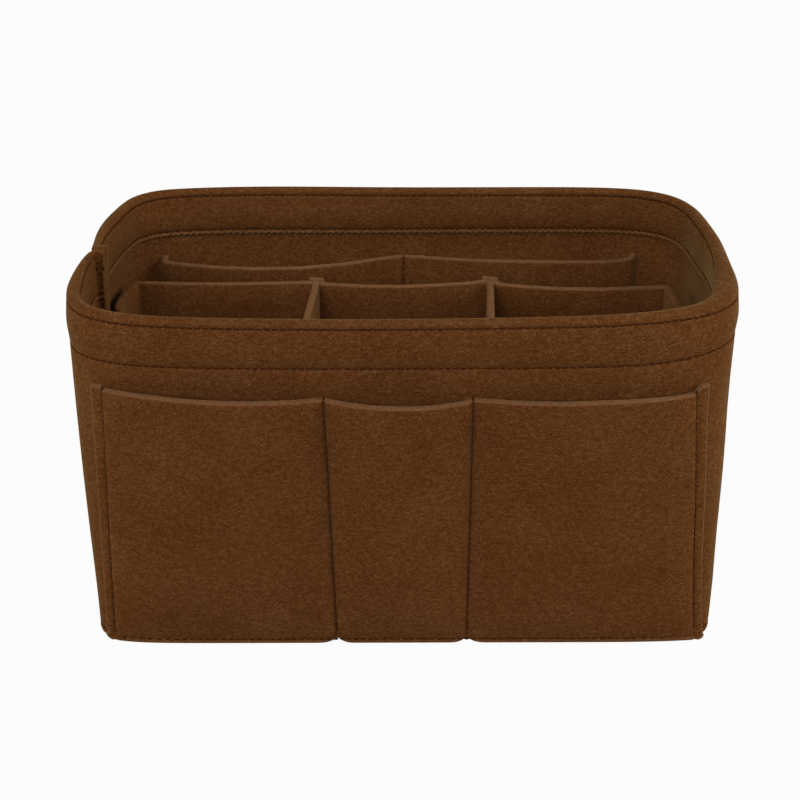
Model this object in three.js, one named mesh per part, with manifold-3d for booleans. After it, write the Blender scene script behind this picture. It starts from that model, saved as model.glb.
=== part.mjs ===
import * as THREE from 'three';
import { mergeVertices } from 'three/addons/utils/BufferGeometryUtils.js';
import Module from 'manifold-3d';

// A soft felt organizer that stands inside a handbag. One long felt strip is bent into a ring, hemmed at
// the top and joined at the left end. A base, pocket panels and a divider are sewn to it with thread.
// Lengths are millimetres: +X to the right, +Y to the back, +Z up, and the origin is under the base.

// Outline of the wall's outer face, a superellipse at every height.
const rimLength = 280;
const rimDepth = 160;
const baseLength = 274;
const baseDepth = 141;
const height = 160;
const rimSquareness = 4.6;
const baseSquareness = 10.9;

// Felt, and the clearances between felt pieces that lie against each other.
const felt = 3.3;
const gap = 0.3;
const curvedGap = 0.5;

// Hem folded to the inside, and the seam that joins the strip's ends at the left end.
const hemDepth = 22;
const seamCrease = 0.4;
const seamReach = 9.6;
const seamBend = 2 * felt + seamCrease;

// Base panel with its edge turned up inside the wall.
const baseEdgeHeight = 10;
const baseSeamHeight = 4;

// Outer pocket panels on the front and back, each sewn down into three pockets. Drops are from the rim.
const pocketDrop = 31.5;
const pocketEndMargin = 15;
const pocketSeamSpacing = 58;
const sidePocketGape = 6;
const middlePocketGape = 7.2;
const pocketSeamMargin = 2.5;

// Divider: a strip bent to a U, open to the front wall, and two fins that make three compartments.
const dividerDrop = 34;
const dividerPlace = 39;
const dividerRightShift = 5;
const dividerSideMargin = 15;
const dividerFlange = 12;
const dividerCorner = 5;
const dividerLeftBow = 2.5;
const dividerBow = 5;
const wingBow = 3;
const finSpacing = 83;
const finLean = 4;
const finFlange = 8;

// Pocket panel on the inside of the back wall, sewn down into two pockets.
const innerPocketDrop = 34.5;
const innerPocketRise = 30.5;
const innerPocketMargin = 20;
const innerLeftGape = 14;
const innerRightGape = 9.5;

// Sewing thread, laid on the felt as one run for each row of stitches.
const threadRadius = 0.4;
const rimStitchDrop = 3.5;
const hemStitchRise = 2;

const wallColour = '#543219';
const insideColour = '#412410';
const threadColour = '#2e1a0d';
const feltRoughness = 0.95;
const threadRoughness = 0.6;

// How finely the curves are divided.
const cornerCrowding = 0.45;
const wallSteps = 72;
const bendSteps = 4;
const uprightShares = [0, 0.3, 0.65, 1];

const { lerp, smoothstep } = THREE.MathUtils;

const wasm = await Module();
wasm.setup();

// The wall's outer face at a height: half its length and depth, and how square it is.
function outline(z) {
  const share = z / height;
  return {
    halfLength: lerp(baseLength, rimLength, share) / 2,
    halfDepth: lerp(baseDepth, rimDepth, share) / 2,
    squareness: lerp(baseSquareness, rimSquareness, share),
  };
}

// A point so far inside the wall's outer face. The turn is 0 at the right end and grows towards the back.
function wallPoint(turn, z, depth) {
  const { halfLength, halfDepth, squareness } = outline(z);
  const across = Math.cos(turn);
  const along = Math.sin(turn);
  const reach = (Math.abs(across) ** squareness + Math.abs(along) ** squareness) ** (-1 / squareness);
  const steepX = Math.sign(across) * Math.abs(across * reach) ** (squareness - 1) / halfLength;
  const steepY = Math.sign(along) * Math.abs(along * reach) ** (squareness - 1) / halfDepth;
  const steep = Math.hypot(steepX, steepY);
  return new THREE.Vector3(
    halfLength * reach * across - depth * steepX / steep,
    halfDepth * reach * along - depth * steepY / steep,
    z,
  );
}

// The turn at which the front (side -1) or back (side 1) of the wall's outer face stands at x.
function turnAt(x, z, side) {
  const { halfLength, squareness } = outline(z);
  const share = x / halfLength;
  const rise = (1 - Math.abs(share) ** squareness) ** (1 / squareness);
  return side * Math.atan2(rise, share);
}

// The turn of a step round the wall, with the steps crowded at the four corners.
function crowdedTurn(even) {
  return even + cornerCrowding * Math.sin(4 * even) / 4;
}

// A closed solid between two grids of points that face each other. Side 0 lies right of the columns' run.
function shell(columns, rows, place) {
  const positions = [];
  const indices = [];
  for (const side of [0, 1]) {
    for (let column = 0; column < columns; column++) {
      for (let row = 0; row < rows; row++) {
        positions.push(...place(column, row, side).toArray());
      }
    }
  }
  const at = (side, column, row) => (side * columns + column) * rows + row;
  const quad = (a, b, c, d) => indices.push(a, b, c, a, c, d);
  const lastColumn = columns - 1;
  const lastRow = rows - 1;
  for (let column = 0; column < lastColumn; column++) {
    const next = column + 1;
    for (let row = 0; row < lastRow; row++) {
      quad(at(0, column, row), at(0, next, row), at(0, next, row + 1), at(0, column, row + 1));
      quad(at(1, column, row), at(1, column, row + 1), at(1, next, row + 1), at(1, next, row));
    }
    quad(at(1, column, 0), at(1, next, 0), at(0, next, 0), at(0, column, 0));
    quad(at(0, column, lastRow), at(0, next, lastRow), at(1, next, lastRow), at(1, column, lastRow));
  }
  for (let row = 0; row < lastRow; row++) {
    quad(at(0, 0, row), at(0, 0, row + 1), at(1, 0, row + 1), at(1, 0, row));
    quad(
      at(1, lastColumn, row),
      at(1, lastColumn, row + 1),
      at(0, lastColumn, row + 1),
      at(0, lastColumn, row),
    );
  }
  return indexed(positions, indices);
}

// A closed solid of rings stacked from its lowest ring to its last, each end closed by a fan to its centre.
function stack(rings, steps, place, firstCentre, lastCentre) {
  const positions = [];
  const indices = [];
  for (let ring = 0; ring < rings; ring++) {
    for (let step = 0; step < steps; step++) {
      positions.push(...place(ring, step).toArray());
    }
  }
  const first = rings * steps;
  positions.push(...firstCentre.toArray(), ...lastCentre.toArray());
  for (let step = 0; step < steps; step++) {
    const next = (step + 1) % steps;
    for (let ring = 0; ring < rings - 1; ring++) {
      const low = ring * steps;
      const high = low + steps;
      indices.push(low + step, low + next, high + next, low + step, high + next, high + step);
    }
    const top = (rings - 1) * steps;
    indices.push(first, next, step, first + 1, top + step, top + next);
  }
  return indexed(positions, indices);
}

// An upright solid whose plan is an outline that changes with height.
function loft(levels, planAt) {
  const plans = levels.map(planAt);
  const count = plans[0].length;
  const positions = plans.flatMap((plan, level) => plan.flatMap((point) => [point.x, point.y, levels[level]]));
  const indices = [];
  for (let level = 0; level < levels.length - 1; level++) {
    const low = level * count;
    const high = low + count;
    for (let i = 0; i < count; i++) {
      const next = (i + 1) % count;
      indices.push(low + i, low + next, high + next, low + i, high + next, high + i);
    }
  }
  const top = (levels.length - 1) * count;
  for (const [a, b, c] of THREE.ShapeUtils.triangulateShape(plans[0], [])) {
    indices.push(c, b, a, top + a, top + b, top + c);
  }
  return indexed(positions, indices);
}

function indexed(positions, indices) {
  const geometry = new THREE.BufferGeometry();
  geometry.setAttribute('position', new THREE.Float32BufferAttribute(positions, 3));
  geometry.setIndex(indices);
  return geometry;
}

// One geometry with others cut away from it.
function cut(geometry, ...tools) {
  const [body, ...blades] = [geometry, ...tools].map((source) => {
    const plain = source.clone();
    plain.deleteAttribute('normal');
    plain.deleteAttribute('uv');
    const merged = mergeVertices(plain);
    return new wasm.Manifold(new wasm.Mesh({
      numProp: 3,
      vertProperties: new Float32Array(merged.attributes.position.array),
      triVerts: new Uint32Array(merged.index.array),
    }));
  });
  const mesh = blades.reduce((solid, blade) => solid.subtract(blade), body).getMesh();
  return indexed([...mesh.vertProperties], [...mesh.triVerts]);
}

// Wall: the strip's run from its front end in the left seam, round the outline, to its back end there.
// Each stop gives a point of the outer face at a height and the way that the face looks.
function seamStop(side, angle) {
  return (z) => {
    const bendX = -outline(z).halfLength + seamBend;
    const bendY = side * (gap / 2 + seamBend);
    const look = new THREE.Vector2(-Math.cos(angle), -side * Math.sin(angle));
    return { point: new THREE.Vector2(bendX, bendY).addScaledVector(look, seamBend), look };
  };
}

function seamTip(side) {
  return (z) => ({
    point: new THREE.Vector2(-outline(z).halfLength + seamReach, side * gap / 2),
    look: new THREE.Vector2(0, -side),
  });
}

function mainStop(share) {
  return (z) => {
    const seamTurn = Math.atan2(gap / 2 + seamBend, outline(z).halfDepth);
    const turn = crowdedTurn(lerp(-Math.PI + seamTurn, Math.PI - seamTurn, share));
    const face = wallPoint(turn, z, 0);
    const inside = wallPoint(turn, z, felt);
    const look = new THREE.Vector2(face.x - inside.x, face.y - inside.y).divideScalar(felt);
    return { point: new THREE.Vector2(face.x, face.y), look };
  };
}

function wallStops() {
  const bends = Array.from({ length: bendSteps }, (_, i) => (Math.PI / 2) * (1 - i / bendSteps));
  const main = Array.from({ length: wallSteps + 1 }, (_, i) => mainStop(i / wallSteps));
  return [
    seamTip(-1),
    ...bends.map((angle) => seamStop(-1, angle)),
    ...main,
    ...bends.toReversed().map((angle) => seamStop(1, angle)),
    seamTip(1),
  ];
}

// The wall's section: for each rung, the height and depth of its outer and its inner point.
function wallRungs() {
  const hemEdge = height - hemDepth;
  const plainShares = [0, 0.14, 0.34, 0.56, 0.78];
  const rungs = plainShares.map((share) => [[share * hemEdge, 0], [share * hemEdge, felt]]);
  const ledge = felt / 2;
  rungs.push([[hemEdge - ledge, 0], [hemEdge, felt]]);
  rungs.push([[hemEdge + ledge, 0], [hemEdge, 2 * felt]]);
  const foldShares = [0, 0.35, 0.65, 0.85];
  const lastRise = Math.sin(foldShares.at(-1) * Math.PI / 2);
  for (const share of foldShares) {
    const angle = share * Math.PI / 2;
    const z = height - felt + felt * Math.sin(angle) / lastRise;
    const tuck = felt * (1 - Math.cos(angle));
    rungs.push([[z, tuck], [z, 2 * felt - tuck]]);
  }
  return rungs;
}

function outerWall() {
  const stops = wallStops();
  const rungs = wallRungs();
  return shell(stops.length, rungs.length, (column, row, side) => {
    const [z, depth] = rungs[row][side];
    const { point, look } = stops[column](z);
    const at = point.clone().addScaledVector(look, -depth);
    return new THREE.Vector3(at.x, at.y, z);
  });
}

// Solid fill of the wall's outline at a depth, used to cut room for the base's turned-up edge.
function fill(depth, low, high) {
  return stack(
    2,
    wallSteps,
    (ring, step) => wallPoint(crowdedTurn(2 * Math.PI * step / wallSteps), ring === 0 ? low : high, depth),
    new THREE.Vector3(0, 0, low),
    new THREE.Vector3(0, 0, high),
  );
}

function basePanel() {
  const edge = felt + gap;
  const bendShare = 0.3;
  const rings = [
    [0, edge + felt],
    [felt * bendShare, edge + felt * bendShare],
    [felt, edge],
    [baseEdgeHeight, edge],
    [baseEdgeHeight, edge + felt],
    [felt, edge + felt],
  ];
  const panel = stack(
    rings.length,
    wallSteps,
    (ring, step) => {
      const [z, depth] = rings[ring];
      return wallPoint(crowdedTurn(2 * Math.PI * step / wallSteps), z, depth);
    },
    new THREE.Vector3(0, 0, 0),
    new THREE.Vector3(0, 0, felt),
  );
  const notchHeight = 2 * (baseEdgeHeight + gap);
  const notchWidth = 2 * (seamBend + gap);
  const notchLength = 2 * (seamReach + gap);
  const notch = new THREE.BoxGeometry(notchLength, notchWidth, notchHeight);
  notch.translate(-outline(baseEdgeHeight).halfLength, 0, 0);
  return cut(panel, notch);
}

// The panels on the wall stand at the same x at every height, so the shorter of rim and base holds them.
const shortLength = Math.min(rimLength, baseLength);

// Outer pocket panel, which bows out between its seams.
const pocketTop = height - pocketDrop;
const pocketHalf = shortLength / 2 - pocketEndMargin;
const pocketSeams = [-pocketHalf, -pocketSeamSpacing / 2, pocketSeamSpacing / 2, pocketHalf];
const pocketGapes = [sidePocketGape, middlePocketGape, sidePocketGape];
const pocketCrossPower = 0.8;
const pocketRisePower = 0.6;
const pocketColumns = 10;

function pocketX(column) {
  const bay = Math.min(Math.floor(column / pocketColumns), pocketGapes.length - 1);
  return lerp(pocketSeams[bay], pocketSeams[bay + 1], column / pocketColumns - bay);
}

function pocketBow(x, z) {
  const bay = Math.max(0, pocketSeams.findLastIndex((seam) => seam <= x));
  if (bay >= pocketGapes.length) {
    return 0;
  }
  const share = (x - pocketSeams[bay]) / (pocketSeams[bay + 1] - pocketSeams[bay]);
  const start = 2 * baseSeamHeight;
  const rise = Math.max(0, (z - start) / (pocketTop - start));
  return pocketGapes[bay] * Math.sin(Math.PI * share) ** pocketCrossPower * rise ** pocketRisePower;
}

function pocketPanel(side) {
  const rowShares = [0, 0.0625, 0.16, 0.34, 0.56, 0.78, 1];
  const columns = pocketGapes.length * pocketColumns + 1;
  return shell(columns, rowShares.length, (column, row, face) => {
    const z = rowShares[row] * pocketTop;
    const x = pocketX(side < 0 ? column : columns - 1 - column);
    const out = curvedGap + pocketBow(x, z) + (face === 0 ? felt : 0);
    return wallPoint(turnAt(x, z, side), z, -out);
  });
}

// Divider strip, as the centreline of its felt seen from above: a flange on the front wall, the left
// wing, the panel across the bag with its bays bowed to the front, the right wing and its flange.
const dividerTop = height - dividerDrop;
const finPlaces = [-finSpacing / 2, finSpacing / 2];
const bayPlaces = [dividerPlace, dividerPlace, dividerPlace, dividerPlace - dividerRightShift];
const bayBows = [dividerLeftBow, dividerBow, dividerBow];

function frontInside(x, z, depth) {
  const at = wallPoint(turnAt(x, z, -1), z, depth);
  return new THREE.Vector2(at.x, at.y);
}

function wingPlace(z) {
  return outline(z).halfLength - dividerSideMargin;
}

function dividerY(x, z) {
  const bayEnds = [-wingPlace(z), ...finPlaces, wingPlace(z)];
  const bay = Math.min(Math.max(0, bayEnds.findLastIndex((end) => end <= x)), bayBows.length - 1);
  const share = (x - bayEnds[bay]) / (bayEnds[bay + 1] - bayEnds[bay]);
  const straight = lerp(bayPlaces[bay], bayPlaces[bay + 1], smoothstep(share, 0, 1));
  return straight - bayBows[bay] * Math.sin(Math.PI * share) ** 2;
}

function wingRun(side, z) {
  const front = frontInside(side * wingPlace(z), z, 2 * felt + curvedGap);
  const backY = side < 0 ? bayPlaces[0] : bayPlaces.at(-1);
  const shares = [0, 0.12, 0.28, 0.46, 0.64, 0.82, 1];
  return shares.map((share) => new THREE.Vector2(
    side * (wingPlace(z) + wingBow * Math.sin(Math.PI * share)),
    lerp(front.y, backY, share),
  ));
}

// A run of points with its sharp corners rounded, each by a short curve that leaves the corner's legs.
function roundCorners(points, corners) {
  return points.flatMap((corner, i) => {
    if (!corners.includes(i)) {
      return [corner];
    }
    const legs = [points[i - 1], points[i + 1]].map((other) => (
      corner.clone().add(other.clone().sub(corner).setLength(dividerCorner))
    ));
    return new THREE.QuadraticBezierCurve(legs[0], corner, legs[1]).getPoints(bendSteps);
  });
}

function dividerRun(z) {
  const depth = felt + curvedGap + felt / 2;
  const left = wingRun(-1, z);
  const right = wingRun(1, z).toReversed();
  const panelSteps = 30;
  const panel = Array.from({ length: panelSteps - 1 }, (_, i) => {
    const x = lerp(-wingPlace(z), wingPlace(z), (i + 1) / panelSteps);
    return new THREE.Vector2(x, dividerY(x, z));
  });
  const flange = (side) => frontInside(side * (wingPlace(z) - dividerFlange), z, depth);
  const points = [flange(-1), ...left, ...panel, ...right, flange(1)];
  const cornerAfterFlange = 1;
  const cornerAtPanel = left.length;
  const corners = [
    cornerAfterFlange,
    cornerAtPanel,
    cornerAtPanel + panelSteps,
    points.length - 2,
  ];
  return roundCorners(points, corners);
}

function dividerPanel() {
  const levels = uprightShares.map((share) => lerp(felt + gap, dividerTop, share));
  const runs = levels.map(dividerRun);
  const strip = shell(runs[0].length, levels.length, (column, row, side) => {
    const run = runs[row];
    const before = run[Math.max(0, column - 1)];
    const after = run[Math.min(run.length - 1, column + 1)];
    const ahead = after.clone().sub(before).normalize();
    const step = side === 0 ? felt / 2 : -felt / 2;
    return new THREE.Vector3(run[column].x + ahead.y * step, run[column].y - ahead.x * step, levels[row]);
  });
  return cut(strip, baseEdgeRoom());
}

// Room that the base's turned-up edge needs inside the wall.
function baseEdgeRoom() {
  const top = baseEdgeHeight + gap;
  const below = baseEdgeHeight;
  return cut(fill(0, -below, top), fill(2 * (felt + gap), -2 * below, 2 * top));
}

// Fin between the front wall and the divider panel, with a flange at each end.
function dividerFin(place) {
  const backX = place;
  const frontX = place - finLean;
  const half = felt / 2;
  const levels = uprightShares.map((share) => lerp(felt + gap, dividerTop, share));
  const bowShare = 0.25;
  const plan = (z) => {
    const frontY = frontInside(frontX, z, felt + curvedGap).y;
    const backY = dividerY(backX, z) - half - curvedGap;
    const webShares = [0, 0.25, 0.5, 0.75, 1];
    const web = webShares.map((share) => new THREE.Vector2(
      lerp(frontX, backX, share) - finLean * bowShare * Math.sin(Math.PI * share),
      lerp(frontY + felt, backY - felt, share),
    ));
    return [
      new THREE.Vector2(frontX - finFlange / 2, frontY),
      new THREE.Vector2(frontX + finFlange / 2, frontY),
      new THREE.Vector2(frontX + finFlange / 2, frontY + felt),
      ...web.map((point) => new THREE.Vector2(point.x + half, point.y)),
      new THREE.Vector2(backX + finFlange / 2, backY - felt),
      new THREE.Vector2(backX + finFlange / 2, backY),
      new THREE.Vector2(backX - finFlange / 2, backY),
      new THREE.Vector2(backX - finFlange / 2, backY - felt),
      ...web.toReversed().map((point) => new THREE.Vector2(point.x - half, point.y)),
      new THREE.Vector2(frontX - finFlange / 2, frontY + felt),
    ];
  };
  return cut(loft(levels, plan), baseEdgeRoom());
}

// Inner pocket panel on the back wall, its two bays bowed into the bag.
const innerPocketTop = height - innerPocketDrop;
const innerHalf = shortLength / 2 - innerPocketMargin;
const innerPocketHeight = innerPocketTop - innerPocketRise;
const innerCrossPower = 0.65;
const innerRisePower = 0.8;
const innerColumns = 14;

function innerBow(x, z) {
  const gape = x < 0 ? innerLeftGape : innerRightGape;
  const share = Math.min(1, Math.abs(x) / innerHalf);
  const rise = (z - innerPocketRise) / innerPocketHeight;
  return gape * Math.sin(Math.PI * share) ** innerCrossPower * rise ** innerRisePower;
}

function innerBackPocket() {
  const rowShares = [0, 0.12, 0.35, 0.65, 1];
  const columns = 2 * innerColumns + 1;
  return shell(columns, rowShares.length, (column, row, face) => {
    const z = lerp(innerPocketRise, innerPocketTop, rowShares[row]);
    const x = lerp(-innerHalf, innerHalf, column / (columns - 1));
    const depth = felt + curvedGap + innerBow(x, z) + (face === 0 ? felt : 0);
    const at = wallPoint(turnAt(x, z, 1), z, depth);
    return new THREE.Vector3(at.x, at.y, z);
  });
}

// A run of sewing thread through the points, straight between them.
const threadSides = 5;

function thread(points, steps) {
  const section = new THREE.Shape(Array.from({ length: threadSides }, (_, i) => {
    const angle = 2 * Math.PI * i / threadSides;
    return new THREE.Vector2(threadRadius * Math.cos(angle), threadRadius * Math.sin(angle));
  }));
  const route = new THREE.CatmullRomCurve3(points, false, 'catmullrom', 0);
  return new THREE.ExtrudeGeometry(section, { steps, extrudePath: route, bevelEnabled: false });
}

// Thread round the wall at a height, as a narrow band. The depth is that of the face that it lies on.
const threadLift = gap + threadRadius;

function ringThread(z, depthAt) {
  return shell(wallSteps - 1, 2, (column, row, side) => {
    const bandZ = z + (row === 0 ? -threadRadius : threadRadius);
    const { point, look } = mainStop((column + 1) / wallSteps)(bandZ);
    const depth = depthAt(point) + (side === 0 ? -threadRadius : threadRadius);
    const at = point.clone().addScaledVector(look, -depth);
    return new THREE.Vector3(at.x, at.y, bandZ);
  });
}

// The base's row of stitches runs on the wall at the ends and climbs over the pocket panels between them.
function baseThread() {
  const climb = 2 * felt;
  return ringThread(baseSeamHeight, (point) => {
    const over = smoothstep(pocketHalf + climb + felt - Math.abs(point.x), 0, climb);
    return -threadLift - over * (felt + 2 * curvedGap);
  });
}

function pocketSeamThread(side, seam) {
  const inset = Math.abs(seam) < pocketHalf ? 0 : pocketSeamMargin * Math.sign(seam);
  const x = seam - inset;
  const low = baseSeamHeight + 2 * threadLift;
  const shares = [0, 0.2, 0.4, 0.6, 0.8, 1];
  const points = shares.map((share) => {
    const z = lerp(low, pocketTop, share);
    return wallPoint(turnAt(x, z, side), z, -(curvedGap + pocketBow(x, z) + felt + threadLift));
  });
  return thread(points, shares.length);
}

// Thread on one face of the left seam. It steps out where the hem makes the seam thicker.
function sideSeamThread(side) {
  const hemEdge = height - hemDepth;
  const low = baseEdgeHeight;
  const route = [
    [low, felt],
    [lerp(low, hemEdge, 0.5), felt],
    [hemEdge - 6 * felt, felt],
    [hemEdge - 4 * felt, 2 * felt],
    [height - felt, 2 * felt],
  ];
  const points = route.map(([z, depth]) => new THREE.Vector3(
    -outline(z).halfLength + seamReach - 3 * threadRadius,
    side * (gap / 2 + depth + threadLift),
    z,
  ));
  return thread(points, 3 * route.length);
}

function innerPocketSeamThread() {
  const shares = [0, 0.25, 0.5, 0.75, 1];
  const points = shares.map((share) => {
    const z = lerp(innerPocketRise + 4 * threadLift, innerPocketTop, share);
    return wallPoint(turnAt(0, z, 1), z, 2 * felt + curvedGap + innerBow(0, z) + threadLift);
  });
  return thread(points, shares.length);
}

function innerPocketBottomThread() {
  const z = innerPocketRise + 2 * threadLift;
  const count = 12;
  const half = innerHalf - felt;
  const points = Array.from({ length: count + 1 }, (_, i) => {
    const x = lerp(-half, half, i / count);
    return wallPoint(turnAt(x, z, 1), z, 2 * felt + curvedGap + innerBow(x, z) + threadLift);
  });
  return thread(points, 2 * count);
}

// Thread on the back of the divider panel, where a fin's flange is sewn to it.
function finThread(place) {
  const low = felt + gap;
  const points = [0, 0.5, 1].map((share) => {
    const z = lerp(low, dividerTop, share);
    return new THREE.Vector3(place, dividerY(place, z) + felt / 2 + threadLift, z);
  });
  return thread(points, points.length);
}

const feltOutside = { color: wallColour, roughness: feltRoughness, metalness: 0 };
const feltInside = { color: insideColour, roughness: feltRoughness, metalness: 0 };
const sewing = { color: threadColour, roughness: threadRoughness, metalness: 0 };

const organizer = new THREE.Group();

function add(name, geometry, finish) {
  const mesh = new THREE.Mesh(geometry, new THREE.MeshStandardMaterial(finish));
  mesh.name = name;
  organizer.add(mesh);
}

add('outer_wall', outerWall(), feltOutside);
add('base_panel', basePanel(), feltInside);
add('front_pocket_panel', pocketPanel(-1), feltOutside);
add('back_pocket_panel', pocketPanel(1), feltOutside);
add('divider_panel', dividerPanel(), feltInside);
add('divider_fin_left', dividerFin(finPlaces[0]), feltInside);
add('divider_fin_right', dividerFin(finPlaces[1]), feltInside);
add('inner_back_pocket', innerBackPocket(), feltInside);

const rimStitch = height - rimStitchDrop;
const hemStitch = height - hemDepth + hemStitchRise;
add('rim_thread_outer', ringThread(rimStitch, () => -threadLift), sewing);
add('rim_thread_inner', ringThread(rimStitch, () => 2 * felt + threadLift), sewing);
add('hem_thread_outer', ringThread(hemStitch, () => -threadLift), sewing);
add('hem_thread_inner', ringThread(hemStitch, () => 2 * felt + threadLift), sewing);
add('base_thread', baseThread(), sewing);
for (const [sideName, side] of [['front', -1], ['back', 1]]) {
  pocketSeams.forEach((seam, i) => {
    add(`${sideName}_pocket_thread_${i + 1}`, pocketSeamThread(side, seam), sewing);
  });
}
add('side_seam_thread_front', sideSeamThread(-1), sewing);
add('side_seam_thread_back', sideSeamThread(1), sewing);
add('inner_pocket_thread', innerPocketSeamThread(), sewing);
add('inner_pocket_bottom_thread', innerPocketBottomThread(), sewing);
add('fin_thread_left', finThread(finPlaces[0]), sewing);
add('fin_thread_right', finThread(finPlaces[1]), sewing);

export default organizer;
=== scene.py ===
import math

import bpy
import numpy as np
from mathutils import Matrix, Vector


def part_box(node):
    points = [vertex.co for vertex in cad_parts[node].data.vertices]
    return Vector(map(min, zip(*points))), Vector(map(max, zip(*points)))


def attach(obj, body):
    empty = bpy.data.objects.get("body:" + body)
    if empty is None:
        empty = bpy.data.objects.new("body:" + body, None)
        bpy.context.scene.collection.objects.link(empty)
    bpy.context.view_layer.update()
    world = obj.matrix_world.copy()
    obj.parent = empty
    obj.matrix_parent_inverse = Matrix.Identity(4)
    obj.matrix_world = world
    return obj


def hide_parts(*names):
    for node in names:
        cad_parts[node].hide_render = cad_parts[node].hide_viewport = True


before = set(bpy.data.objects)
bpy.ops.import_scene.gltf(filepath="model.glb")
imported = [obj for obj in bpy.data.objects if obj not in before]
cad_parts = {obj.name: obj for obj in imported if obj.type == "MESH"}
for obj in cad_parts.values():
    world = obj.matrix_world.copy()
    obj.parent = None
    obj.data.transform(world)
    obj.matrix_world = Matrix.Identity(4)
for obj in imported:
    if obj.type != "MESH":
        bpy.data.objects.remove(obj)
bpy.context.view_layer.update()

# Camera. It stands in front of the organizer at the photograph's angle: 28 degrees above the horizon, a
# touch to the right of the middle, with a small turn and tilt. Places are metres, angles are degrees.
photo_pixels = 800
focal_pixels = 1381.4
sensor = 36
camera_place = Vector((0.00644, -0.56606, 0.38695))
camera_pitch = 28.196
camera_turn = 0.798
camera_tilt = -0.641

camera_data = bpy.data.cameras.new("camera")
camera_data.sensor_width = sensor
camera_data.lens = sensor * focal_pixels / photo_pixels
camera = bpy.data.objects.new("camera", camera_data)
camera.matrix_world = (
    Matrix.Translation(camera_place)
    @ Matrix.Rotation(math.radians(camera_turn), 4, "Z")
    @ Matrix.Rotation(math.radians(90 - camera_pitch), 4, "X")
    @ Matrix.Rotation(math.radians(camera_tilt), 4, "Z")
)
bpy.context.scene.collection.objects.link(camera)
bpy.context.scene.camera = camera
bpy.context.scene.view_settings.view_transform = "Standard"


# Studio. A pale paper floor and white surroundings, two large soft boxes behind the camera, one at each side,
# the right one stronger, and one at the back. To the camera the floor is almost white under a soft shadow.
floor_half = 6.0
floor_drop = 0.0002
paper = "#b6b3ad"
surround_strength = 0.06
floor_white_share = 0.95
lamp_plans = [
    ("front_box", (-0.5, -3.2, 1.85), (2.4, 1.6), 75.0),
    ("high_box", (-0.6, -2.4, 2.6), (2.4, 1.6), 39.0),
    ("left_box", (-1.35, -0.1, 0.7), (0.9, 1.1), 13.0),
    ("right_box", (1.35, -0.1, 0.7), (0.9, 1.1), 23.0),
    ("back_box", (0.3, 2.4, 1.6), (2.0, 1.2), 30.0),
]
lamp_aim = Vector((0, 0, 0.09))


def linear(hex_colour):
    """An sRGB hex colour as linear red, green, blue and alpha."""
    channels = [int(hex_colour[i:i + 2], 16) / 255 for i in (1, 3, 5)]
    return [c / 12.92 if c <= 0.04045 else ((c + 0.055) / 1.055) ** 2.4 for c in channels] + [1]


def add_node(tree, kind, settings=None, inputs=None):
    """A node with its settings, and its inputs set to values or linked from other nodes' outputs."""
    node = tree.nodes.new(kind)
    for name, value in (settings or {}).items():
        setattr(node, name, value)
    for name, value in (inputs or {}).items():
        if isinstance(value, bpy.types.NodeSocket):
            tree.links.new(value, node.inputs[name])
        else:
            node.inputs[name].default_value = value
    return node


def mesh_object(name, points, faces):
    """A smooth mesh object with its place in its mesh. The points are millimetres."""
    mesh = bpy.data.meshes.new(name)
    mesh.from_pydata((np.asarray(points) / 1000).tolist(), [], faces)
    mesh.validate()
    mesh.polygons.foreach_set("use_smooth", [True] * len(mesh.polygons))
    piece = bpy.data.objects.new(name, mesh)
    bpy.context.scene.collection.objects.link(piece)
    return piece


world = bpy.data.worlds.new("white_surroundings")
bpy.context.scene.world = world
world.use_nodes = True
world.node_tree.nodes.clear()
rays = add_node(world.node_tree, "ShaderNodeLightPath")
seen = add_node(world.node_tree, "ShaderNodeMath", {"operation": "MAXIMUM"},
                {0: rays.outputs["Is Camera Ray"], 1: rays.outputs["Is Glossy Ray"]})
seen = add_node(world.node_tree, "ShaderNodeMath", {"operation": "MAXIMUM"},
                {0: seen.outputs[0], 1: rays.outputs["Is Transmission Ray"]})
strength = add_node(world.node_tree, "ShaderNodeMapRange", None,
                    {"Value": seen.outputs[0], "To Min": surround_strength, "To Max": 1})
backdrop = add_node(world.node_tree, "ShaderNodeBackground", None,
                    {"Color": (1, 1, 1, 1), "Strength": strength.outputs["Result"]})
add_node(world.node_tree, "ShaderNodeOutputWorld", None, {"Surface": backdrop.outputs[0]})

paper_finish = bpy.data.materials.new("white_paper")
paper_finish.use_nodes = True
paper_finish.node_tree.nodes.clear()
rays = add_node(paper_finish.node_tree, "ShaderNodeLightPath")
share = add_node(paper_finish.node_tree, "ShaderNodeMath", {"operation": "MULTIPLY"},
                 {0: rays.outputs["Is Camera Ray"], 1: floor_white_share})
matt = add_node(paper_finish.node_tree, "ShaderNodeBsdfDiffuse", None, {"Color": linear(paper)})
white = add_node(paper_finish.node_tree, "ShaderNodeEmission", None, {"Color": (1, 1, 1, 1), "Strength": 1})
both = add_node(paper_finish.node_tree, "ShaderNodeMixShader", None,
                {0: share.outputs[0], 1: matt.outputs[0], 2: white.outputs[0]})
add_node(paper_finish.node_tree, "ShaderNodeOutputMaterial", None, {"Surface": both.outputs[0]})

floor_corners = [(x * floor_half * 1000, y * floor_half * 1000, -floor_drop * 1000)
                 for x, y in ((-1, -1), (1, -1), (1, 1), (-1, 1))]
floor = mesh_object("floor", floor_corners, [(0, 1, 2, 3)])
floor.data.materials.append(paper_finish)

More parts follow.
